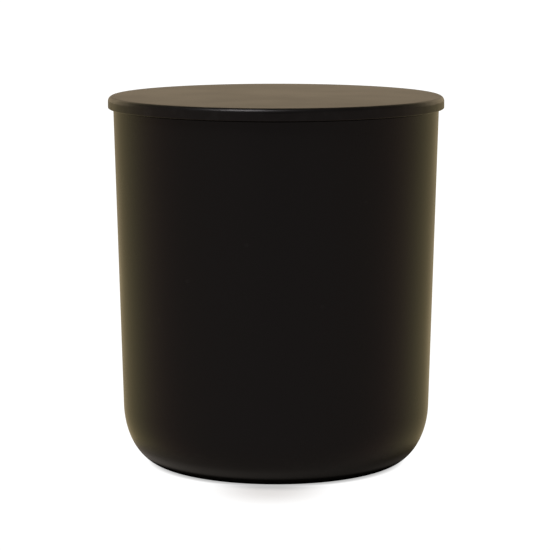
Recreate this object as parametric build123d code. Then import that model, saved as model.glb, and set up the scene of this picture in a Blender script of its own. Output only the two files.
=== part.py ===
from build123d import *
from math import atan, cos, degrees, hypot, radians, sin, tan
import os

# Candle jar with a plug lid. Lengths are in millimetres and angles in degrees.
# Z is up, the jar stands on Z = 0, and its axis is the Z axis.

# Glass body, outside
JAR_HEIGHT = 88.3  # standing surface to the crest of the rim
RIM_WALL = 2.8  # thickness of the wall at the rim
RIM_EDGE = 0.25  # fire-polished edges of the flat crest
WALL_LEAN = 1.52  # outward lean of the wall
HEEL_SPAN = 9.6  # half-axis of the elliptical heel, along the radius
HEEL_HEIGHT = 14.8  # half-axis of the elliptical heel, upright
BEARING_WIDTH = 2.6  # flat ring that the jar stands on
PUNT_RISE = 1.5  # step up from the bearing ring to the hollow underside
PUNT_CROWN = 0.9  # further rise of that hollow towards the axis
PUNT_STEP = 1.6  # radial width of the step
PUNT_FILLET = 1.2  # at the top of the step
BEARING_FILLET = 0.6  # at its foot

# Glass body, inside
MOUTH_RADIUS = 37.3
MOUTH_DEPTH = 10.0  # straight part of the mouth, below the crest
BORE_DRAFT = 2.3  # inward lean of the bore below the mouth
BORE_BLEND = 60.0  # radius that blends the mouth into the drafted bore
FLOOR_HEIGHT = 8.2  # inner floor at the wall, above the standing surface
FLOOR_CROWN = 0.6  # rise of the inner floor towards the axis
INNER_HEEL = 10.0  # radius between bore and floor

# Stippled dimples, pressed into the bearing ring
STIPPLE_COUNT = 72
STIPPLE_BALL = 0.8
STIPPLE_DEPTH = 0.2

# Lid
SEAT_GAP = 0.05  # between the crest of the rim and the lid that rests on it
LID_RADIUS = 41.4
LID_THICKNESS = 3.0
SHEET = 0.3  # thickness of the cap's sheet steel
CAP_EDGE_ROUND = 1.2  # outside bend round the top of the cap
HEM_BEND = 0.3  # outside bend where the skirt turns under
HEM_WIDTH = 1.5  # from the outside of the skirt to the free edge of the hem
HEM_LIP_ROUND = 0.12  # deburred corners of that free edge
CAP_FIT = 0.05  # play between the cap and the moulded disc inside it

# Moulded disc inside the lid
DISC_EDGE_CHAMFER = 0.9  # clears the inside of the cap's bend
NECK_RADIUS = 35.3  # bottom of the groove that holds the seal
GROOVE_HEIGHT = 5.1
LIP_RADIUS = 36.5  # lip under the groove, which keeps the seal on
LIP_HEIGHT = 1.2
LIP_LEAD_IN = 0.5
SKIRT_WALL = 2.2  # wall of the ring that plugs into the mouth
WEB = 1.6  # thickness of the disc inside that ring
RECESS_FILLET = 0.8
GATE_RADIUS = 2.0  # dimple round the moulding gate
GATE_DEPTH = 0.4
GATE_STUB_RADIUS = 0.6  # trimmed gate inside the dimple
GATE_STUB_HEIGHT = 0.25
EJECTOR_COUNT = 4
EJECTOR_RADIUS = 2.5
EJECTOR_DEPTH = 0.15
EJECTOR_CIRCLE = 24.0

# Seal
SEAL_PLAY = 0.05  # round the neck
SEAL_HEIGHT = 4.9
SLEEVE_WALL = 0.7
FIN_COUNT = 3
FIN_PITCH = 1.6
FIN_RADIUS = 37.2  # tips, pressed in by the mouth
FIN_ROOT = 0.9
FIN_TIP = 0.45
FIN_SWEEP = 0.3  # rise of each fin from root to tip

# Levels and radii that follow from these
LEAN = radians(WALL_LEAN)
RIM_RADIUS = MOUTH_RADIUS + RIM_WALL
WALL_AT_HEEL = RIM_RADIUS - (JAR_HEIGHT - HEEL_HEIGHT) * tan(LEAN)
FOOT_RADIUS = WALL_AT_HEEL - hypot(HEEL_SPAN, HEEL_HEIGHT * tan(LEAN))
BEARING_INNER = FOOT_RADIUS - BEARING_WIDTH
STIPPLE_CIRCLE = FOOT_RADIUS - BEARING_WIDTH / 2
SEAT_LEVEL = JAR_HEIGHT + SEAT_GAP
LID_TOP = SEAT_LEVEL + LID_THICKNESS
CAP_UNDERSIDE = LID_TOP - SHEET
GROOVE_FLOOR = SEAT_LEVEL - GROOVE_HEIGHT


def turned(section):
    """The solid that a section, drawn as (radius, height), sweeps about the Z axis."""
    return revolve(Plane.XZ * section, Axis.Z)


def rounded(section, corner, radius):
    """The section with its corner nearest to (radius, height) rounded."""
    vertex = section.vertices().sort_by_distance((*corner, 0))[0]
    return fillet(vertex, radius)


def upright(radius, height, bottom):
    """A cylinder on the Z axis that stands on the level bottom."""
    cylinder = Cylinder(radius, height, align=(Align.CENTER, Align.CENTER, Align.MIN))
    return Pos(0, 0, bottom) * cylinder


def crowned(level, radius, crown):
    """An arc, flat where it leaves the axis at level + crown, that falls to level at the radius."""
    return TangentArc((0, level + crown), (radius, level), tangent=(1, 0))


def glass_body():
    """Pressed tumbler: thick base, leaning wall, flat rim with polished edges."""
    punt_radius = BEARING_INNER - PUNT_STEP
    mouth_end = JAR_HEIGHT - MOUTH_DEPTH
    bore_foot = MOUTH_RADIUS - (mouth_end - FLOOR_HEIGHT) * tan(radians(BORE_DRAFT))

    # The quarter ellipse stops where its slope is the wall's, so that heel and wall are tangent.
    heel_sweep = 90 - degrees(atan(HEEL_HEIGHT / HEEL_SPAN * tan(LEAN)))
    heel_centre = (FOOT_RADIUS, HEEL_HEIGHT)
    heel = EllipticalCenterArc(heel_centre, HEEL_SPAN, HEEL_HEIGHT, -90, arc_size=heel_sweep)
    outline = [
        crowned(PUNT_RISE, punt_radius, PUNT_CROWN),
        Polyline((punt_radius, PUNT_RISE), (BEARING_INNER, 0), (FOOT_RADIUS, 0)),
        heel,
        Line(heel @ 1, (RIM_RADIUS, JAR_HEIGHT)),
        Polyline((RIM_RADIUS, JAR_HEIGHT), (MOUTH_RADIUS, JAR_HEIGHT), (MOUTH_RADIUS, mouth_end)),
        Line((MOUTH_RADIUS, mouth_end), (bore_foot, FLOOR_HEIGHT)),
        crowned(FLOOR_HEIGHT, bore_foot, FLOOR_CROWN),
        Line((0, FLOOR_HEIGHT + FLOOR_CROWN), (0, PUNT_RISE + PUNT_CROWN)),
    ]
    section = make_face(outline)
    section = rounded(section, (punt_radius, PUNT_RISE), PUNT_FILLET)
    section = rounded(section, (BEARING_INNER, 0), BEARING_FILLET)
    section = rounded(section, (RIM_RADIUS, JAR_HEIGHT), RIM_EDGE)
    section = rounded(section, (MOUTH_RADIUS, JAR_HEIGHT), RIM_EDGE)
    section = rounded(section, (MOUTH_RADIUS, mouth_end), BORE_BLEND)
    section = rounded(section, (bore_foot, FLOOR_HEIGHT), INNER_HEEL)
    return turned(section)


def glass_jar():
    """The tumbler, with shallow dimples round its bearing ring."""
    dimple = Pos(0, 0, STIPPLE_DEPTH - STIPPLE_BALL) * Sphere(STIPPLE_BALL)
    half_pitch = 180 / STIPPLE_COUNT
    places = PolarLocations(STIPPLE_CIRCLE, STIPPLE_COUNT, half_pitch)
    return glass_body() - [place * dimple for place in places]


def lid_cap():
    """Drawn steel cap: flat top, short skirt, and a hem turned in under the disc."""
    hem_inner = LID_RADIUS - HEM_WIDTH
    hem_top = SEAT_LEVEL + SHEET
    section = make_face(
        Polyline(
            (0, LID_TOP),
            (LID_RADIUS, LID_TOP),
            (LID_RADIUS, SEAT_LEVEL),
            (hem_inner, SEAT_LEVEL),
            (hem_inner, hem_top),
            (LID_RADIUS - SHEET, hem_top),
            (LID_RADIUS - SHEET, CAP_UNDERSIDE),
            (0, CAP_UNDERSIDE),
            close=True,
        )
    )
    section = rounded(section, (LID_RADIUS, LID_TOP), CAP_EDGE_ROUND)
    section = rounded(section, (LID_RADIUS - SHEET, CAP_UNDERSIDE), CAP_EDGE_ROUND - SHEET)
    section = rounded(section, (LID_RADIUS, SEAT_LEVEL), HEM_BEND)
    section = rounded(section, (hem_inner, SEAT_LEVEL), HEM_LIP_ROUND)
    section = rounded(section, (hem_inner, hem_top), HEM_LIP_ROUND)
    return turned(section)


def lid_inner():
    """Moulded disc that fills the cap, with the grooved ring that plugs into the mouth."""
    disc_radius = LID_RADIUS - SHEET - CAP_FIT
    hem_clear_radius = LID_RADIUS - HEM_WIDTH - CAP_FIT
    hem_clear_level = SEAT_LEVEL + SHEET + CAP_FIT
    ring_bottom = GROOVE_FLOOR - LIP_HEIGHT
    recess_radius = NECK_RADIUS - SKIRT_WALL
    ceiling = CAP_UNDERSIDE - WEB
    section = make_face(
        Polyline(
            (0, CAP_UNDERSIDE),
            (disc_radius - DISC_EDGE_CHAMFER, CAP_UNDERSIDE),
            (disc_radius, CAP_UNDERSIDE - DISC_EDGE_CHAMFER),
            (disc_radius, hem_clear_level),
            (hem_clear_radius, hem_clear_level),
            (hem_clear_radius, SEAT_LEVEL),
            (NECK_RADIUS, SEAT_LEVEL),
            (NECK_RADIUS, GROOVE_FLOOR),
            (LIP_RADIUS, GROOVE_FLOOR),
            (LIP_RADIUS, ring_bottom),
            (recess_radius, ring_bottom),
            (recess_radius, ceiling),
            (0, ceiling),
            close=True,
        )
    )
    section = rounded(section, (LIP_RADIUS, ring_bottom), LIP_LEAD_IN)
    section = rounded(section, (recess_radius, ring_bottom), LIP_LEAD_IN)
    section = rounded(section, (recess_radius, ceiling), RECESS_FILLET)
    gate = upright(GATE_RADIUS, GATE_DEPTH, ceiling)
    stub = upright(GATE_STUB_RADIUS, GATE_STUB_HEIGHT, ceiling + GATE_DEPTH - GATE_STUB_HEIGHT)
    mark = upright(EJECTOR_RADIUS, EJECTOR_DEPTH, ceiling)
    marks = [place * mark for place in PolarLocations(EJECTOR_CIRCLE, EJECTOR_COUNT)]
    return turned(section) - marks - gate + stub


def fin(root, sleeve):
    """One fin's section, from the sleeve at the height root to its round tip."""
    tip = root + FIN_SWEEP
    tip_centre = FIN_RADIUS - FIN_TIP / 2
    over = (tip_centre, tip + FIN_TIP / 2)
    under = (tip_centre, tip - FIN_TIP / 2)
    flanks = Polyline(over, (sleeve, root + FIN_ROOT / 2), (sleeve, root - FIN_ROOT / 2), under)
    return make_face([flanks, ThreePointArc(under, (FIN_RADIUS, tip), over)])


def seal_ring():
    """Silicone sleeve in the lid's groove, with fins that bear on the mouth."""
    inner = NECK_RADIUS + SEAL_PLAY
    sleeve = inner + SLEEVE_WALL
    middle = GROOVE_FLOOR + GROOVE_HEIGHT / 2
    section = Pos((inner + sleeve) / 2, middle) * Rectangle(SLEEVE_WALL, SEAL_HEIGHT)
    lowest = middle - (FIN_COUNT - 1) / 2 * FIN_PITCH - FIN_SWEEP / 2
    for index in range(FIN_COUNT):
        section += fin(lowest + index * FIN_PITCH, sleeve)
    return turned(section)


NODES = {
    "glass_jar": glass_jar,
    "lid_cap": lid_cap,
    "lid_inner": lid_inner,
    "seal_ring": seal_ring,
}

os.makedirs("parts", exist_ok=True)
for name, make in NODES.items():
    export_step(make(), f"parts/{name}.step")
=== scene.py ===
import math

import bmesh
import bpy
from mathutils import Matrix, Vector

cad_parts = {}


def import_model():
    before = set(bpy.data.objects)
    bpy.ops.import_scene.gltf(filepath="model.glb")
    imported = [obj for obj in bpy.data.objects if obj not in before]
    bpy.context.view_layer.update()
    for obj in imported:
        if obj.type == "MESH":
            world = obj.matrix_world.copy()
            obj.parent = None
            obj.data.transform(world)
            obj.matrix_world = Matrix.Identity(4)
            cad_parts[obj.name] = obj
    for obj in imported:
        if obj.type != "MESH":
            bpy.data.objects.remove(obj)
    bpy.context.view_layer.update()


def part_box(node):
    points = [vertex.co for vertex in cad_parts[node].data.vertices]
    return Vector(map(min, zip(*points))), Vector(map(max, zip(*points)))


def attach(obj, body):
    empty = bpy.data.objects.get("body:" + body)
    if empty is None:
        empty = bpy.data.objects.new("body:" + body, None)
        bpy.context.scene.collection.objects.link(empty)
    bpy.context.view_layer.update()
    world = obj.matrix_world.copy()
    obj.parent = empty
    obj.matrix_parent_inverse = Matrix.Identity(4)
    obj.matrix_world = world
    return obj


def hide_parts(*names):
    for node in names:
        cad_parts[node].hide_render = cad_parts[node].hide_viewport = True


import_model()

# Everything is in metres. Outlines are drawn as (radius, height) and turned about the Z axis.
MM = 0.001
JAR_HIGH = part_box("glass_jar")[1]
CAP_LOW, CAP_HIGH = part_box("lid_cap")
DISC_LOW, DISC_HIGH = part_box("lid_inner")
SEAL_LOW, SEAL_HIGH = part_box("seal_ring")

SEGMENTS = 288  # round each turned piece
ARC_STEP = math.radians(7.5)  # between points on an arc
RUN_STEP = 1.5 * MM  # between points on a straight run
HOLD = 0.05 * MM  # from an arc's end to the first point of the run beyond it
ON_AXIS = 0.001 * MM  # a smaller radius counts as a point on the axis
WELD = 0.001 * MM  # points closer than this become one


# ---------------------------------------------------------------- outlines

def polar(radius, angle, height=None):
    """A point at this radius and angle, in the plane or at a height."""
    point = (radius * math.cos(angle), radius * math.sin(angle))
    return Vector(point) if height is None else Vector((*point, height))


def run(start, end):
    """Points along a straight run, without its start, with one held close to each end."""
    start, end = Vector(start), Vector(end)
    length = (end - start).length
    if length < 4 * HOLD:
        return [end]
    count = max(1, round(length / RUN_STEP))
    shares = [HOLD / length] + [i / count for i in range(1, count)] + [1 - HOLD / length, 1.0]
    return [start.lerp(end, share) for share in shares]


def arc(centre, radius, start, end):
    """Points along an arc, without its start."""
    count = max(3, math.ceil(abs(end - start) / ARC_STEP))
    turns = [start + (end - start) * i / count for i in range(1, count + 1)]
    return [Vector(centre) + polar(radius, turn) for turn in turns]


def corner(before, at, after, radius):
    """The arc that rounds the corner at a point between two straight runs, with its start."""
    before, at, after = Vector(before), Vector(at), Vector(after)
    inward, outward = (before - at).normalized(), (after - at).normalized()
    half = inward.angle(outward) / 2
    reach = radius / math.tan(half)
    centre = at + (inward + outward).normalized() * (radius / math.sin(half))
    first = at + inward * reach
    start = math.atan2(*(first - centre).yx)
    sweep = -(first - centre).angle_signed(at + outward * reach - centre)
    return [first] + arc(centre, radius, start, start + sweep)


def path(*points):
    """A run through (radius, height) points. A third number rounds the corner there."""
    line = [Vector(points[0][:2])]
    for i in range(1, len(points)):
        here = points[i]
        if len(here) == 3:
            bend = corner(points[i - 1][:2], here[:2], points[i + 1][:2], here[2])
            line += run(line[-1], bend[0]) + bend[1:]
        else:
            line += run(line[-1], here[:2])
    return line


def crown(radius, level, rise):
    """Points from the axis out to a radius, on a shallow dome that stands rise above level at the axis."""
    count = round(radius / RUN_STEP)
    shares = [i / count for i in range(count + 1)]
    return [Vector((radius * share, level + rise * (1 - share**2))) for share in shares]


# ---------------------------------------------------------------- turned pieces

def add_turned(mesh, outline, closed=False):
    """Turn an outline into faces. A point on the axis becomes a single vertex."""
    rings = []
    for radius, height in outline:
        if radius < ON_AXIS:
            rings.append([mesh.verts.new((0, 0, height))] * SEGMENTS)
        else:
            angles = [math.tau * i / SEGMENTS for i in range(SEGMENTS)]
            rings.append([mesh.verts.new(polar(radius, angle, height)) for angle in angles])
    if closed:
        rings.append(rings[0])
    for first, second in zip(rings, rings[1:]):
        add_quads(mesh, first, second)


def add_quads(mesh, first, second):
    """Join two loops of vertices with faces, triangles where one loop is a single vertex."""
    for i in range(len(first)):
        j = (i + 1) % len(first)
        corners = [first[i], first[j], second[j], second[i]]
        mesh.faces.new(dict.fromkeys(corners))


def add_marked_band(mesh, inner, outer, level, marks, span, rows, profile):
    """A flat ring with evenly spaced round marks in it.

    Each mark is in a cell, span segments by rows, and its profile is a list of (radius, height above the
    level) that ends on its own axis. The first mark is centred on angle zero, or, if the cells fill the
    ring, the first cell starts there.
    """
    first_cell = -span // 2 if span < SEGMENTS // marks else 0
    radii = [inner + (outer - inner) * row / rows for row in range(rows + 1)]
    angles = [math.tau * i / SEGMENTS for i in range(SEGMENTS)]
    grid = [[mesh.verts.new(polar(radius, angle, level)) for angle in angles] for radius in radii]
    in_cells = set()
    for mark in range(marks):
        start = first_cell + mark * SEGMENTS // marks
        in_cells.update((start + i) % SEGMENTS for i in range(span))
        lower = [grid[0][(start + i) % SEGMENTS] for i in range(span)]
        side = [grid[row][(start + span) % SEGMENTS] for row in range(rows)]
        upper = [grid[rows][(start + span - i) % SEGMENTS] for i in range(span)]
        back = [grid[rows - row][start % SEGMENTS] for row in range(rows)]
        loop = lower + side + upper + back
        middle = polar((inner + outer) / 2, math.tau * (start + span / 2) / SEGMENTS, level)
        turns = [math.atan2(*(v.co - middle).yx) for v in loop]
        for radius, height in profile[:-1]:
            ring = [mesh.verts.new(middle + polar(radius, turn, height)) for turn in turns]
            add_quads(mesh, loop, ring)
            loop = ring
        tip = mesh.verts.new(middle + Vector((0, 0, profile[-1][1])))
        add_quads(mesh, loop, [tip] * len(loop))
    for lower, upper in zip(grid, grid[1:]):
        for i in sorted(set(range(SEGMENTS)) - in_cells):
            j = (i + 1) % SEGMENTS
            mesh.faces.new((lower[i], lower[j], upper[j], upper[i]))


def finished(name, mesh):
    """A smooth-shaded object from a mesh whose parts meet at shared places."""
    bmesh.ops.remove_doubles(mesh, verts=mesh.verts, dist=WELD)
    loose = [v for v in mesh.verts if not v.link_faces]
    bmesh.ops.delete(mesh, geom=loose, context="VERTS")
    bmesh.ops.recalc_face_normals(mesh, faces=mesh.faces)
    data = bpy.data.meshes.new(name)
    mesh.to_mesh(data)
    mesh.free()
    data.shade_smooth()
    piece = bpy.data.objects.new(name, data)
    bpy.context.scene.collection.objects.link(piece)
    return piece


def stand_for(piece, node, body, material):
    """The piece takes a CAD node's place."""
    piece.data.materials.append(material)
    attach(piece, body)
    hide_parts(node)


# ---------------------------------------------------------------- node trees

class Tree:
    """A node tree, with a short way to add and join nodes."""

    def __init__(self, tree):
        self.nodes, self.links = tree.nodes, tree.links

    def join(self, socket, value):
        if isinstance(value, bpy.types.NodeSocket):
            self.links.new(value, socket)
        else:
            socket.default_value = value

    def add(self, kind, output=0, settings=None, **inputs):
        """One output of a new node. In an input's name an underscore stands for a space."""
        node = self.nodes.new("ShaderNode" + kind)
        for key, value in (settings or {}).items():
            setattr(node, key, value)
        for key, value in inputs.items():
            self.join(node.inputs[key.replace("_", " ")], value)
        return node.outputs[output]

    def math(self, operation, *values):
        node = self.nodes.new("ShaderNodeMath")
        node.operation = operation
        for socket, value in zip(node.inputs, values):
            self.join(socket, value)
        return node.outputs[0]

    def times(self, first, second):
        return self.math("MULTIPLY", first, second)

    def total(self, *values):
        value = values[0]
        for other in values[1:]:
            value = self.math("ADD", value, other)
        return value

    def spread(self, value, start, end, low=0.0, high=1.0):
        """A value eased from start..end to low..high, and held there."""
        settings = {"interpolation_type": "SMOOTHSTEP"}
        inputs = {"From_Min": start, "From_Max": end, "To_Min": low, "To_Max": high}
        return self.add("MapRange", settings=settings, Value=value, **inputs)

    def fade(self, value, start, end):
        """1 up to start, eased to 0 at end."""
        return self.spread(value, start, end, 1.0, 0.0)

    def split(self, vector):
        """The x, y and z of a vector."""
        node = self.nodes.new("ShaderNodeSeparateXYZ")
        self.join(node.inputs[0], vector)
        return node.outputs

    def length(self, *parts):
        return self.math("SQRT", self.total(*(self.times(part, part) for part in parts)))


SPECK_EDGE = (0.05, 0.22)  # a speck fades out over these shares of its cell's size
SCUFF_LEVELS = (0.70, 0.76)  # noise above these levels is a scratch
CLOUD = (0.3, 0.7)  # levels between which most noise lies


class Paint(Tree):
    """A material for the object, with a Principled shader."""

    def __init__(self, name):
        self.material = bpy.data.materials.new(name)
        self.material.use_nodes = True
        super().__init__(self.material.node_tree)
        self.shader = self.nodes["Principled BSDF"]
        self.place = self.add("TexCoord", "Object")
        self.x, self.y, self.z = self.split(self.place)
        self.radius = self.length(self.x, self.y)

    def set(self, **values):
        for name, value in values.items():
            self.join(self.shader.inputs[name.replace("_", " ")], value)

    def noise(self, size, detail=2.0, place=None):
        """Noise from 0 to 1, with features of about this size in metres."""
        return self.add("TexNoise", Vector=place or self.place, Scale=1 / size, Detail=detail)

    def patches(self, size, levels, detail=4):
        """Ragged patches of about this size, 1 where noise is above the levels and 0 where it is below."""
        return self.spread(self.noise(size, detail), *levels)

    def specks(self, size, share):
        """1 in small round specks, and 0 elsewhere. About this share of cells this size has a speck."""
        cells = self.nodes.new("ShaderNodeTexVoronoi")
        self.join(cells.inputs["Vector"], self.place)
        self.join(cells.inputs["Scale"], 1 / size)
        chosen = self.math("LESS_THAN", self.split(cells.outputs["Color"])[0], share)
        return self.times(chosen, self.fade(cells.outputs["Distance"], *SPECK_EDGE))

    def scuffs(self, size, stretch, turn):
        """Thin scratches, 1 on a scratch, that run along one direction."""
        settings = {"rotation_type": "EULER_XYZ"}
        turned = self.add("VectorRotate", settings=settings, Vector=self.place, Rotation=(0, 0, turn))
        drawn = self.nodes.new("ShaderNodeVectorMath")
        drawn.operation = "MULTIPLY"
        self.join(drawn.inputs[0], turned)
        self.join(drawn.inputs[1], (stretch, 1, 1))
        return self.spread(self.noise(size, detail=1.0, place=drawn.outputs[0]), *SCUFF_LEVELS)

    def blend(self, share, first, second):
        """A colour, first where share is 0 and second where it is 1."""
        node = self.nodes.new("ShaderNodeMix")
        node.data_type = "RGBA"
        self.join(node.inputs[0], share)
        self.join(node.inputs[6], first)
        self.join(node.inputs[7], second)
        return node.outputs[2]

    def either(self, share, first, second):
        """A number, first where share is 0 and second where it is 1."""
        node = self.nodes.new("ShaderNodeMix")
        self.join(node.inputs[0], share)
        self.join(node.inputs[2], first)
        self.join(node.inputs[3], second)
        return node.outputs[0]

    def bump(self, height, depth):
        """A normal from a height of 0 to 1 over a depth in metres."""
        return self.add("Bump", Height=height, Distance=depth)


def grey(level, warm=0.0):
    """A dark neutral colour, a little warmer for warm above 0."""
    return (level * (1 + warm), level, level * (1 - warm), 1.0)


# ---------------------------------------------------------------- the jar

RIM_WALL = 2.8 * MM
RIM_EDGE = 0.25 * MM
WALL_LEAN = math.radians(1.52)
HEEL_SPAN = 9.6 * MM
HEEL_HEIGHT = 14.8 * MM
HEEL_POINTS = 28
BEARING_WIDTH = 2.6 * MM
BEARING_FILLET = 0.6 * MM
PUNT_RISE = 1.5 * MM
PUNT_CROWN = 0.9 * MM
PUNT_STEP = 1.6 * MM
PUNT_FILLET = 1.2 * MM
STEP_ROUND = 0.8  # share of that fillet's radius drawn where the dome meets the step
STIPPLE_COUNT = 72
STIPPLE_BALL = 0.8 * MM
STIPPLE_DEPTH = 0.2 * MM
STIPPLE_CELL = 0.95 * MM  # half the width of the band that holds the dimples
STIPPLE_ROWS = 4
STIPPLE_RINGS = (1.08, 0.97, 0.8, 0.6, 0.4, 0.2, 0.0)  # from just outside a dimple's edge to its middle
MOUTH_RADIUS = 37.3 * MM
MOUTH_DEPTH = 10.0 * MM
BORE_DRAFT = math.radians(2.3)
BORE_BLEND = 60.0 * MM
FLOOR_HEIGHT = 8.2 * MM
FLOOR_CROWN = 0.6 * MM
INNER_HEEL = 10.0 * MM


def candle_glass():
    """Pressed tumbler: thick base, rounded heel, leaning wall, flat polished rim, dimpled bearing ring."""
    height = JAR_HIGH.z
    rim = MOUTH_RADIUS + RIM_WALL
    wall_at_heel = rim - (height - HEEL_HEIGHT) * math.tan(WALL_LEAN)
    foot = wall_at_heel - math.hypot(HEEL_SPAN, HEEL_HEIGHT * math.tan(WALL_LEAN))
    bearing = foot - BEARING_WIDTH
    punt = bearing - PUNT_STEP
    stipple = foot - BEARING_WIDTH / 2

    # Under the base, from the axis to the flat ring, whose dimpled band is a mesh of its own.
    dome = crown(punt - PUNT_FILLET, PUNT_RISE, PUNT_CROWN)
    step = path(
        dome[-1],
        (punt, PUNT_RISE, PUNT_FILLET * STEP_ROUND),
        (bearing, 0, BEARING_FILLET),
        (stipple - STIPPLE_CELL, 0),
    )

    heel_end = math.pi / 2 - math.atan(HEEL_HEIGHT / HEEL_SPAN * math.tan(WALL_LEAN))
    turns = [heel_end * i / HEEL_POINTS for i in range(1, HEEL_POINTS + 1)]
    heel = [Vector((foot + HEEL_SPAN * math.sin(a), HEEL_HEIGHT * (1 - math.cos(a)))) for a in turns]
    outside = path((stipple + STIPPLE_CELL, 0), (foot, 0)) + heel

    # The wall, over the rim, and down the bore to the axis on the floor.
    mouth_end = height - MOUTH_DEPTH
    bore_foot = MOUTH_RADIUS - (mouth_end - FLOOR_HEIGHT) * math.tan(BORE_DRAFT)
    floor = crown(bore_foot, FLOOR_HEIGHT, FLOOR_CROWN)
    flat = [point for point in floor if point.x < bore_foot - INNER_HEEL]
    upper = path(
        heel[-1],
        (rim, height, RIM_EDGE),
        (MOUTH_RADIUS, height, RIM_EDGE),
        (MOUTH_RADIUS, mouth_end, BORE_BLEND),
        (bore_foot, FLOOR_HEIGHT, INNER_HEEL),
        flat[-1],
    )

    ball_turn = math.acos(1 - STIPPLE_DEPTH / STIPPLE_BALL)
    dimple = []
    for share in STIPPLE_RINGS:
        rise = max(0.0, STIPPLE_BALL * math.cos(ball_turn * share) - STIPPLE_BALL + STIPPLE_DEPTH)
        dimple.append((STIPPLE_BALL * math.sin(ball_turn * share), rise))

    mesh = bmesh.new()
    add_turned(mesh, dome + step[1:])
    span = SEGMENTS // STIPPLE_COUNT
    band = (step[-1].x, stipple + STIPPLE_CELL)
    add_marked_band(mesh, *band, 0, STIPPLE_COUNT, span, STIPPLE_ROWS, dimple)
    add_turned(mesh, outside + upper[1:] + flat[-2::-1])
    return finished("candle_glass", mesh)


INSIDE_RADIUS = 36.0 * MM  # a cone within the wall, between its faces
INSIDE_SLOPE = 0.033
INSIDE_FROM = 7.5 * MM  # a level within the base
BARE_GLASS = 0.011
BARE_GLASS_ROUGHNESS = (0.05, 0.085)
BARE_GLASS_CLOUD = 12 * MM
BARE_GLASS_LEVELS = (0.35, 0.65)  # of the noise, from its glossiest to its dullest
BARE_GLASS_WAVE = 9 * MM  # length of the faint waves that pressing leaves

# In the materials, SHOWS is how far a layer turns the colour to its own, ROUGHENS and SMOOTHS are what
# it adds to the roughness or takes from it, and STANDS is its share of the relief.
LACQUER = 0.009
LACQUER_ROUGHNESS = 0.24
LACQUER_CLOUD = 25 * MM  # size of the patches in its colour and gloss
LACQUER_CLOUD_LIGHT = 1.3  # brightness of the lighter patches, against the darker
LACQUER_CLOUD_DEPTH = 0.025  # in roughness
LACQUER_EDGE = 0.25 * MM  # how far the lacquer's edge wanders along the rim
LACQUER_EDGE_WAVE = 4 * MM
LACQUER_EDGE_BLUR = 0.04 * MM
LACQUER_RELIEF = 0.010 * MM
LACQUER_GRAIN = 0.11 * MM
LACQUER_GRAIN_ROUGHENS = 0.03
LACQUER_GRAIN_STANDS = 0.25
PEEL = 1.1 * MM  # size of the orange peel
PEEL_STANDS = 0.8
NIB_CELL = 3.5 * MM
NIB_SHARE = 0.08
NIB_SHOWS = 0.2
NIB_STANDS = 1.5
WORN_HEIGHT = (0.05 * MM, 0.3 * MM)  # the wear on the bearing ring fades out upwards
WORN_PATCH = 2 * MM
WORN_LEVELS = (0.4, 0.7)
WORN_SHOWS = 0.25
WORN_ROUGHENS = 0.15
SCRATCH = 0.5 * MM
SCRATCH_STRETCH = 0.04
SCRATCH_TURNS = (0.5, 2.1)
SPECK_PALE = 0.05  # colour of nibs and of rubbed edges
WORN_PALE = 0.06  # and of worn and scratched lacquer


def lacquered_glass():
    """Satin black lacquer outside. Inside, bare glossy glass, black because the lacquer is behind it."""
    p = Paint("lacquered_glass")
    cloud = p.noise(LACQUER_CLOUD, detail=3)
    wander = p.times(p.math("SUBTRACT", p.noise(LACQUER_EDGE_WAVE), 0.5), LACQUER_EDGE)
    cone = p.times(p.z, INSIDE_SLOPE)
    depth = p.math("SUBTRACT", p.math("ADD", cone, INSIDE_RADIUS), p.math("ADD", p.radius, wander))
    deep = p.spread(depth, -LACQUER_EDGE_BLUR, LACQUER_EDGE_BLUR)
    inside = p.times(deep, p.math("GREATER_THAN", p.z, INSIDE_FROM))

    peel = p.noise(PEEL, detail=1.5)
    grain = p.noise(LACQUER_GRAIN, detail=1)
    nibs = p.specks(NIB_CELL, NIB_SHARE)
    worn = p.times(p.fade(p.z, *WORN_HEIGHT), p.patches(WORN_PATCH, WORN_LEVELS))
    first, second = (p.scuffs(SCRATCH, SCRATCH_STRETCH, turn) for turn in SCRATCH_TURNS)
    scratch = p.times(p.math("MAXIMUM", first, second), worn)

    lacquer = p.blend(cloud, grey(LACQUER, warm=0.02), grey(LACQUER * LACQUER_CLOUD_LIGHT, warm=0.05))
    lacquer = p.blend(p.times(nibs, NIB_SHOWS), lacquer, grey(SPECK_PALE))
    lacquer = p.blend(p.math("MAXIMUM", p.times(worn, WORN_SHOWS), scratch), lacquer, grey(WORN_PALE))
    p.set(Base_Color=p.blend(inside, lacquer, grey(BARE_GLASS)))

    smooth, rough = LACQUER_ROUGHNESS - LACQUER_CLOUD_DEPTH, LACQUER_ROUGHNESS + LACQUER_CLOUD_DEPTH
    satin = p.spread(cloud, *CLOUD, smooth, rough)
    satin = p.total(satin, p.times(grain, LACQUER_GRAIN_ROUGHENS), p.times(worn, WORN_ROUGHENS))
    gloss = p.spread(p.noise(BARE_GLASS_CLOUD, detail=3), *BARE_GLASS_LEVELS, *BARE_GLASS_ROUGHNESS)
    p.set(Roughness=p.either(inside, satin, gloss))

    fine = p.total(p.times(peel, PEEL_STANDS), p.times(grain, LACQUER_GRAIN_STANDS))
    outer = p.total(fine, p.times(nibs, NIB_STANDS))
    height = p.either(inside, outer, p.noise(BARE_GLASS_WAVE, detail=1.5))
    p.set(Normal=p.bump(height, LACQUER_RELIEF))
    return p.material


# ---------------------------------------------------------------- the lid

SHEET = 0.3 * MM
CAP_EDGE_ROUND = 1.2 * MM
HEM_BEND = 0.3 * MM
HEM_WIDTH = 1.5 * MM
HEM_LIP_ROUND = 0.12 * MM
HEM_FOLD_ROUND = 0.05 * MM  # inside the fold
CAP_FIT = 0.05 * MM

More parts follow.
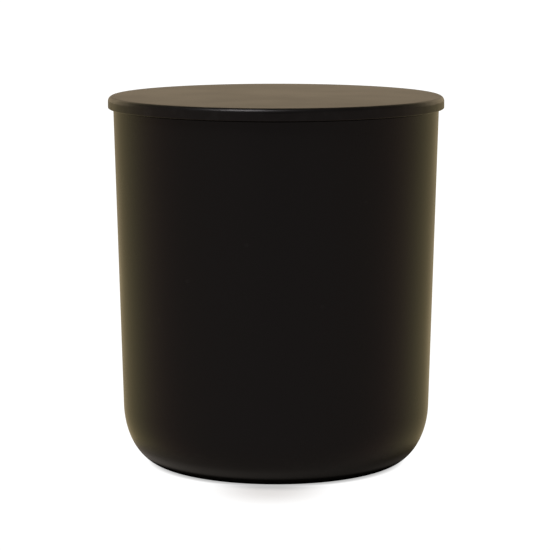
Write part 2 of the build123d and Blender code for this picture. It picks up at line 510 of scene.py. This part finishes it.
DISC_EDGE_CHAMFER = 0.9 * MM
DISC_ROUND = 0.2 * MM
NECK_RADIUS = 35.3 * MM
GROOVE_ROUND = 0.15 * MM
LIP_RADIUS = 36.5 * MM
LIP_HEIGHT = 1.2 * MM
LIP_LEAD_IN = 0.5 * MM
SKIRT_WALL = 2.2 * MM
WEB = 1.6 * MM
RECESS_FILLET = 0.8 * MM
GATE_RADIUS = 2.0 * MM
GATE_DEPTH = 0.4 * MM
GATE_ROUND = 0.1 * MM
GATE_STUB_RADIUS = 0.6 * MM
GATE_STUB_HEIGHT = 0.25 * MM
EJECTOR_COUNT = 4
EJECTOR_RADIUS = 2.5 * MM
EJECTOR_DEPTH = 0.15 * MM
EJECTOR_CIRCLE = 24.0 * MM
EJECTOR_CELL = 3.6 * MM  # half the width of the band that holds the marks
EJECTOR_SPAN = 14  # segments
EJECTOR_ROWS = 6
TINY = 0.03 * MM  # the round on a moulded edge


def lid_top():
    """Drawn cap: flat top, short skirt, and a hem turned in underneath."""
    radius, top, seat = CAP_HIGH.x, CAP_HIGH.z, CAP_LOW.z
    hem_inner, hem_top = radius - HEM_WIDTH, seat + SHEET
    mesh = bmesh.new()
    outline = path(
        (0, top),
        (radius, top, CAP_EDGE_ROUND),
        (radius, seat, HEM_BEND),
        (hem_inner, seat, HEM_LIP_ROUND),
        (hem_inner, hem_top, HEM_LIP_ROUND),
        (radius - SHEET, hem_top, HEM_FOLD_ROUND),
        (radius - SHEET, top - SHEET, CAP_EDGE_ROUND - SHEET),
        (0, top - SHEET),
    )
    add_turned(mesh, outline)
    return finished("lid_top", mesh)


def lid_plug():
    """Moulded disc under the cap, with a grooved ring, a gate dimple and ejector marks."""
    top, bottom, seat = DISC_HIGH.z, DISC_LOW.z, CAP_LOW.z
    disc_radius = DISC_HIGH.x
    hem_clear_radius = CAP_HIGH.x - HEM_WIDTH - CAP_FIT
    hem_clear_level = seat + SHEET + CAP_FIT
    groove_floor = bottom + LIP_HEIGHT
    recess_radius = NECK_RADIUS - SKIRT_WALL
    ceiling = top - WEB
    band_inner, band_outer = EJECTOR_CIRCLE - EJECTOR_CELL, EJECTOR_CIRCLE + EJECTOR_CELL
    outer = path(
        (0, top),
        (disc_radius - DISC_EDGE_CHAMFER, top, DISC_ROUND),
        (disc_radius, top - DISC_EDGE_CHAMFER, DISC_ROUND),
        (disc_radius, hem_clear_level, TINY),
        (hem_clear_radius, hem_clear_level, TINY),
        (hem_clear_radius, seat, TINY),
        (NECK_RADIUS, seat, GROOVE_ROUND),
        (NECK_RADIUS, groove_floor, GROOVE_ROUND),
        (LIP_RADIUS, groove_floor, GROOVE_ROUND),
        (LIP_RADIUS, bottom, LIP_LEAD_IN),
        (recess_radius, bottom, LIP_LEAD_IN),
        (recess_radius, ceiling, RECESS_FILLET),
        (band_outer, ceiling),
    )
    gate_ceiling = ceiling + GATE_DEPTH
    stub_end = gate_ceiling - GATE_STUB_HEIGHT
    inner = path(
        (band_inner, ceiling),
        (GATE_RADIUS, ceiling, TINY),
        (GATE_RADIUS, gate_ceiling, GATE_ROUND),
        (GATE_STUB_RADIUS, gate_ceiling, TINY),
        (GATE_STUB_RADIUS, stub_end, TINY),
        (0, stub_end),
    )
    mark = [
        (EJECTOR_RADIUS + 2 * TINY, 0.0),
        (EJECTOR_RADIUS + TINY, 0.0),
        (EJECTOR_RADIUS, TINY),
        (EJECTOR_RADIUS, EJECTOR_DEPTH - TINY),
        (EJECTOR_RADIUS - TINY, EJECTOR_DEPTH),
        (EJECTOR_RADIUS - 2 * TINY, EJECTOR_DEPTH),
        (EJECTOR_RADIUS / 2, EJECTOR_DEPTH),
        (0.0, EJECTOR_DEPTH),
    ]
    mesh = bmesh.new()
    add_turned(mesh, outer)
    cells = (EJECTOR_COUNT, EJECTOR_SPAN, EJECTOR_ROWS)
    add_marked_band(mesh, band_inner, band_outer, ceiling, *cells, mark)
    add_turned(mesh, inner)
    return finished("lid_plug", mesh)


COAT = 0.012
COAT_ROUGHNESS = 0.33
COAT_CLOUD = 18 * MM
COAT_CLOUD_LIGHT = 1.25
COAT_CLOUD_DEPTH = 0.016  # in roughness
COAT_RELIEF = 0.007 * MM
COAT_GRAIN = 0.22 * MM
COAT_GRAIN_ROUGHENS = 0.04
COAT_NIB_CELL = 2.6 * MM
COAT_NIB_SHARE = 0.10
COAT_PALE_SHOWS = 0.3  # on nibs and where it is rubbed
RUBBED_FROM = 1.0 * MM  # in from the cap's edge
RUBBED_TO = 0.2 * MM
RUBBED_PATCH = 3 * MM  # on the cap's edge, and on the plug ring's lip
RUBBED_LEVELS = (0.45, 0.75)
RUBBED_SMOOTHS = 0.08


def powder_coat():
    """Fine matte black powder coat on the steel cap, a little polished where hands rub its edge."""
    p = Paint("black_powder_coat")
    cloud = p.noise(COAT_CLOUD, detail=3)
    grain = p.noise(COAT_GRAIN)
    nibs = p.specks(COAT_NIB_CELL, COAT_NIB_SHARE)
    edge = p.spread(p.radius, CAP_HIGH.x - RUBBED_FROM, CAP_HIGH.x - RUBBED_TO)
    rubbed = p.times(edge, p.patches(RUBBED_PATCH, RUBBED_LEVELS))
    coat = p.blend(cloud, grey(COAT, warm=0.03), grey(COAT * COAT_CLOUD_LIGHT, warm=0.05))
    coat = p.blend(p.times(p.math("MAXIMUM", nibs, rubbed), COAT_PALE_SHOWS), coat, grey(SPECK_PALE))
    p.set(Base_Color=coat)
    smooth, rough = COAT_ROUGHNESS - COAT_CLOUD_DEPTH, COAT_ROUGHNESS + COAT_CLOUD_DEPTH
    matte = p.spread(cloud, *CLOUD, smooth, rough)
    p.set(Roughness=p.total(matte, p.times(grain, COAT_GRAIN_ROUGHENS), p.times(rubbed, -RUBBED_SMOOTHS)))
    p.set(Normal=p.bump(p.total(grain, nibs), COAT_RELIEF))
    return p.material


RESIN = (0.009, 0.018)
RESIN_PALE = 0.07  # lint, and the rubbed lip
RESIN_ROUGHNESS = (0.38, 0.46)
RESIN_CLOUD = 12 * MM
RESIN_RELIEF = 0.012 * MM
RESIN_GRAIN = 0.16 * MM
RESIN_GRAIN_ROUGHENS = 0.08
FLOW_WIDTH = 0.12  # of a flow line, in radians round the gate
FLOW_STRETCH = 12.0  # radians that a metre out counts as, so that a line is about 10 mm long
FLOW_STANDS = 0.4
LINT_CELL = 2.2 * MM
LINT_SHARE = 0.12
LINT_SHOWS = 0.3
LIP_RUBBED = (0.2 * MM, 0.8 * MM)  # above the ring's lower edge, where the rubbing fades out
LIP_LEVELS = (0.42, 0.7)
LIP_SHOWS = 0.22
LIP_SMOOTHS = 0.1


def black_moulding():
    """Moulded plastic with a fine spark-eroded texture, faint flow lines from the gate and a rubbed lip."""
    p = Paint("black_moulding")
    grain = p.noise(RESIN_GRAIN)
    cloud = p.noise(RESIN_CLOUD)
    turn = p.math("ARCTAN2", p.y, p.x)
    round_place = p.add("CombineXYZ", X=turn, Y=p.times(p.radius, FLOW_STRETCH), Z=0.0)
    flow = p.noise(FLOW_WIDTH, detail=3, place=round_place)
    lint = p.specks(LINT_CELL, LINT_SHARE)
    lip = p.fade(p.z, DISC_LOW.z + LIP_RUBBED[0], DISC_LOW.z + LIP_RUBBED[1])
    rubbed = p.times(lip, p.patches(RUBBED_PATCH, LIP_LEVELS))
    dark, light = RESIN
    resin = p.blend(p.times(p.math("ADD", cloud, flow), 0.5), grey(dark), grey(light))
    pale = p.math("MAXIMUM", p.times(lint, LINT_SHOWS), p.times(rubbed, LIP_SHOWS))
    p.set(Base_Color=p.blend(pale, resin, grey(RESIN_PALE)))
    matte = p.spread(flow, *CLOUD, *RESIN_ROUGHNESS)
    p.set(Roughness=p.total(matte, p.times(grain, RESIN_GRAIN_ROUGHENS), p.times(rubbed, -LIP_SMOOTHS)))
    p.set(Normal=p.bump(p.total(grain, p.times(flow, FLOW_STANDS)), RESIN_RELIEF))
    return p.material


# ---------------------------------------------------------------- the seal

SEAL_PLAY = 0.05 * MM
SLEEVE_WALL = 0.7 * MM
FIN_COUNT = 3
FIN_PITCH = 1.6 * MM
FIN_ROOT = 0.9 * MM
FIN_TIP = 0.45 * MM
FIN_SWEEP = 0.3 * MM
FIN_TIP_ROUND = 0.45 * FIN_TIP
FIN_ROOT_ROUND = 0.08 * MM
SLEEVE_ROUND = 0.1 * MM
SEAM_DROP = 0.5 * MM  # below the sleeve's top, where its outline starts and ends


def lid_seal():
    """Silicone sleeve with three fins, swept up as the mouth presses them."""
    bottom, top, tip_radius = SEAL_LOW.z, SEAL_HIGH.z, SEAL_HIGH.x
    bore = NECK_RADIUS + SEAL_PLAY
    sleeve = bore + SLEEVE_WALL
    lowest = (bottom + top) / 2 - (FIN_COUNT - 1) / 2 * FIN_PITCH - FIN_SWEEP / 2
    seam = (bore, top - SEAM_DROP)
    corners = [seam, (bore, bottom, SLEEVE_ROUND), (sleeve, bottom, SLEEVE_ROUND)]
    for index in range(FIN_COUNT):
        root = lowest + index * FIN_PITCH
        tip = root + FIN_SWEEP
        corners += [
            (sleeve, root - FIN_ROOT / 2, FIN_ROOT_ROUND),
            (tip_radius, tip - FIN_TIP / 2, FIN_TIP_ROUND),
            (tip_radius, tip + FIN_TIP / 2, FIN_TIP_ROUND),
            (sleeve, root + FIN_ROOT / 2, FIN_ROOT_ROUND),
        ]
    corners += [(sleeve, top, SLEEVE_ROUND), (bore, top, SLEEVE_ROUND), seam]
    mesh = bmesh.new()
    add_turned(mesh, path(*corners))
    return finished("lid_seal", mesh)


SILICONE = (0.016, 0.026)
SILICONE_ROUGHNESS = (0.52, 0.64)
SILICONE_CLOUD = 5 * MM
SILICONE_RELIEF = 0.006 * MM
SILICONE_GRAIN = 0.12 * MM
SILICONE_GRAIN_ROUGHENS = 0.06
DUST = 0.12  # its colour
DUST_CELL = 1.3 * MM
DUST_SHARE = 0.16
DUST_SHOWS = 0.35
DUST_RUBBED_OFF = 0.25  # taken from that at the fins' tips
TIP_FROM = 0.35 * MM  # in from the fins' tips, where the mouth rubs them
TIP_TO = 0.1 * MM
TIP_PATCH = 2 * MM
TIP_LEVELS = (0.4, 0.7)
TIP_SMOOTHS = 0.14


def black_silicone():
    """Matte silicone that holds a little dust, with fins rubbed smooth at their tips."""
    p = Paint("black_silicone")
    grain = p.noise(SILICONE_GRAIN)
    cloud = p.noise(SILICONE_CLOUD, detail=3)
    tips = p.spread(p.radius, SEAL_HIGH.x - TIP_FROM, SEAL_HIGH.x - TIP_TO)
    rubbed = p.times(tips, p.patches(TIP_PATCH, TIP_LEVELS, detail=3))
    held = p.math("SUBTRACT", DUST_SHOWS, p.times(tips, DUST_RUBBED_OFF))
    dust = p.times(p.specks(DUST_CELL, DUST_SHARE), held)
    dark, light = SILICONE
    skin = p.blend(cloud, grey(dark), grey(light))
    p.set(Base_Color=p.blend(dust, skin, grey(DUST)))
    matte = p.spread(cloud, *CLOUD, *SILICONE_ROUGHNESS)
    p.set(Roughness=p.total(matte, p.times(grain, SILICONE_GRAIN_ROUGHENS), p.times(rubbed, -TIP_SMOOTHS)))
    p.set(Normal=p.bump(grain, SILICONE_RELIEF))
    return p.material


stand_for(candle_glass(), "glass_jar", "jar", lacquered_glass())
stand_for(lid_top(), "lid_cap", "lid", powder_coat())
stand_for(lid_plug(), "lid_inner", "lid", black_moulding())
stand_for(lid_seal(), "seal_ring", "seal", black_silicone())


# ---------------------------------------------------------------- camera, floor and light

SENSOR = 36  # Blender gives the sensor and the lens in millimetres
LENS = 161.87
EYE = (-0.27 * MM, -609.5 * MM, 137.2 * MM)
LOOKING_DOWN = 8.462  # degrees


def camera():
    """In front of the jar and a little above it, looking slightly down."""
    data = bpy.data.cameras.new("camera")
    data.sensor_width = SENSOR
    data.lens = LENS
    eye = bpy.data.objects.new("camera", data)
    eye.location = EYE
    eye.rotation_euler = (math.radians(90 - LOOKING_DOWN), 0, 0)
    bpy.context.scene.collection.objects.link(eye)
    bpy.context.scene.camera = eye


class Stage(Tree):
    """The node tree of the floor's or the world's material."""

    def __init__(self, tree):
        super().__init__(tree)
        self.nodes.clear()
        self.camera_ray = self.add("LightPath", "Is Camera Ray")

    def mix(self, share, first, second):
        """A shader, first where share is 0 and second where it is 1."""
        node = self.nodes.new("ShaderNodeMixShader")
        for socket, value in zip(node.inputs, (share, first, second)):
            self.join(socket, value)
        return node.outputs[0]

    def finish(self, kind, surface):
        out = self.nodes.new("ShaderNodeOutput" + kind)
        self.join(out.inputs["Surface"], surface)


WHITE = 1.1  # glow of the table and of the background, as the camera sees them
TABLE_HALF = 6.0  # half the table's width
TABLE_DROP = 0.02 * MM  # keeps the table's surface apart from the bearing ring's

# The table as the camera sees it.
SHADE_CENTRE = (-1.5 * MM, -34 * MM)  # of the patch where its own shading shows
SHADE_REACH = (19.5 * MM, 22.5 * MM)
SHADE_CORE = 0.1  # share of that reach, within which it shows in full
CONTACT = (30 * MM, 33 * MM)  # shading also shows this close to the foot
SHADED_GLOW = 0.533
FLOOR_SEEN = (0.85, 0.83, 0.78, 1)

# The table as the object mirrors it, by distance from the axis: a painted pool of light round the foot, a
# painted ring of light at the heel, and painted shade under the heel.
OPEN_RADIUS = 28.5 * MM  # inside the foot it lets light up to the base
PAINTED_SHADE_EDGE = (32.6 * MM, 33.8 * MM)  # painted shade darkens it inwards here, under the heel
# colour of the painted shade under the heel
PAINTED_SHADE_UNDER_HEEL = (0.02, 0.02, 0.02, 1)
PAINTED_RING = (34.5 * MM, 38 * MM)  # a painted ring of light round the heel fades out here
# colour and glow of the painted ring of light
PAINTED_RING_LIGHT = (0.11, 0.10, 0.09, 1)
RING_REACH = 50 * MM  # to each side, with more painted light on the left than on the right
RING_LEFT = 1.4
RING_RIGHT = 0.6
PAINTED_POOL = (35 * MM, 47 * MM)  # the painted pool of light fades out here
# colour of the table within the painted pool of light
PAINTED_POOL_COLOUR = (0.66, 0.62, 0.55, 1)


def floor():
    """A white table top, clear from below. In reflections it is only a painted pool of light round the
    jar's foot, with a painted ring of light and painted shade under the heel.
    """
    mesh = bpy.data.meshes.new("table")
    corners = [(TABLE_HALF * x, TABLE_HALF * y, 0) for x, y in ((-1, -1), (1, -1), (1, 1), (-1, 1))]
    mesh.from_pydata(corners, [], [(0, 1, 2, 3)])
    table = bpy.data.objects.new("table", mesh)
    table.location.z = -TABLE_DROP
    bpy.context.scene.collection.objects.link(table)
    material = bpy.data.materials.new("table")
    material.use_nodes = True
    s = Stage(material.node_tree)
    x, y, _ = s.split(s.add("TexCoord", "Object"))
    distance = s.length(x, y)
    across = s.math("DIVIDE", s.math("SUBTRACT", x, SHADE_CENTRE[0]), SHADE_REACH[0])
    along = s.math("DIVIDE", s.math("SUBTRACT", y, SHADE_CENTRE[1]), SHADE_REACH[1])
    patch = s.fade(s.length(across, along), SHADE_CORE, 1.0)
    contact = s.fade(distance, *CONTACT)
    lit = s.nodes.new("ShaderNodeAddShader")
    s.join(lit.inputs[0], s.add("BsdfDiffuse", Color=FLOOR_SEEN))
    s.join(lit.inputs[1], s.add("Emission", Strength=SHADED_GLOW))
    seen = s.mix(s.math("MAXIMUM", patch, contact), s.add("Emission", Strength=WHITE), lit.outputs[0])

    # In reflections: a painted pool of light round the foot, with a painted ring of light at the heel and
    # painted shade under it.
    painted_pool = s.fade(distance, *PAINTED_POOL)
    # the painted ring of light, stronger on the left than on the right
    glow = s.spread(x, -RING_REACH, RING_REACH, RING_LEFT, RING_RIGHT)
    ring = s.times(s.fade(distance, *PAINTED_RING), glow)
    painted_pool_and_ring = s.nodes.new("ShaderNodeAddShader")
    s.join(painted_pool_and_ring.inputs[0], s.add("BsdfDiffuse", Color=PAINTED_POOL_COLOUR))
    s.join(painted_pool_and_ring.inputs[1], s.add("Emission", Color=PAINTED_RING_LIGHT, Strength=ring))
    # painted shade under the heel, where the table is made dark
    dark = s.add("BsdfDiffuse", Color=PAINTED_SHADE_UNDER_HEEL)
    shadow = s.mix(s.spread(distance, *PAINTED_SHADE_EDGE), dark, painted_pool_and_ring.outputs[0])
    clear = s.add("BsdfTransparent")
    outside = s.math("GREATER_THAN", distance, OPEN_RADIUS)
    mirrored = s.mix(s.times(painted_pool, outside), clear, shadow)
    from_below = s.add("NewGeometry", "Backfacing")
    s.finish("Material", s.mix(s.camera_ray, mirrored, s.mix(from_below, seen, clear)))
    mesh.materials.append(material)


# The room as the object mirrors it, by how far behind the jar a direction points: 0 in front, 1 behind.
ROOM = (
    (0.00, (0.185, 0.16, 0.155)),
    (0.33, (0.185, 0.155, 0.14)),
    (0.48, (0.22, 0.165, 0.145)),
    (0.62, (0.30, 0.23, 0.17)),
    (0.78, (0.40, 0.34, 0.195)),
    (0.91, (0.47, 0.385, 0.205)),
    (1.00, (0.76, 0.61, 0.38)),
)
ABOVE = 0.15  # brightness of the room above the horizon, against below it
HORIZON = (-0.16, 0.11)  # upward part of a direction, over which it changes
SIDES = 0.8  # and low down at the sides
SIDES_START = (0.12, 0.38)  # sideways part of a direction, over which the sides begin
SIDES_TOP = (0.25, 0.75)  # upward part of a direction, over which they darken


def world():
    """White behind the scene, and in reflections a warm glow behind the jar and a dark room in front."""
    sky = bpy.data.worlds.new("studio")
    bpy.context.scene.world = sky
    sky.use_nodes = True
    s = Stage(sky.node_tree)
    across, forward, up = s.split(s.add("TexCoord", "Generated"))
    behind = s.add("MapRange", Value=forward, From_Min=-1.0)
    ramp = s.nodes.new("ShaderNodeValToRGB")
    s.join(ramp.inputs[0], behind)
    stops = ramp.color_ramp.elements
    for stop, (position, colour) in ((stops[0], ROOM[0]), (stops[1], ROOM[-1])):
        stop.position, stop.color = position, (*colour, 1)
    for position, colour in ROOM[1:-1]:
        stops.new(position).color = (*colour, 1)
    middle = s.spread(up, *HORIZON, 1.0, ABOVE)
    sideways = s.spread(s.math("ABSOLUTE", across), *SIDES_START)
    sides = s.times(sideways, s.spread(up, *SIDES_TOP, SIDES, ABOVE))
    room = s.add("Background", Color=ramp.outputs[0], Strength=s.math("MAXIMUM", middle, sides))
    white = s.add("Background", Color=(WHITE, WHITE, WHITE, 1))
    s.finish("World", s.mix(s.camera_ray, room, white))


def softbox(name, location, aim, size, power, colour):
    """A rectangular light that faces the place aim."""
    data = bpy.data.lights.new(name, "AREA")
    data.shape = "RECTANGLE"
    data.size, data.size_y = size
    data.energy = power
    data.color = colour
    lamp = bpy.data.objects.new(name, data)
    lamp.location = location
    lamp.rotation_euler = (Vector(aim) - Vector(location)).to_track_quat("-Z", "Y").to_euler()
    lamp.visible_camera = False
    bpy.context.scene.collection.objects.link(lamp)


bpy.context.scene.view_settings.view_transform = "Standard"
camera()
floor()
world()

# High up, in front and to the left.
softbox(
    "key",
    location=(-0.26, -0.35, 0.93),
    aim=(0, 0, 0.045),
    size=(0.27, 0.42),
    power=2.75,
    colour=(1.0, 0.95, 0.97),
)
# Just behind the lid and above it, where the lid's top mirrors it.
softbox(
    "strip",
    location=(0, 0.068, 0.1145),
    aim=(0, 0, 0.106),
    size=(0.34, 0.053),
    power=0.0302,
    colour=(1.0, 0.79, 0.56),
)
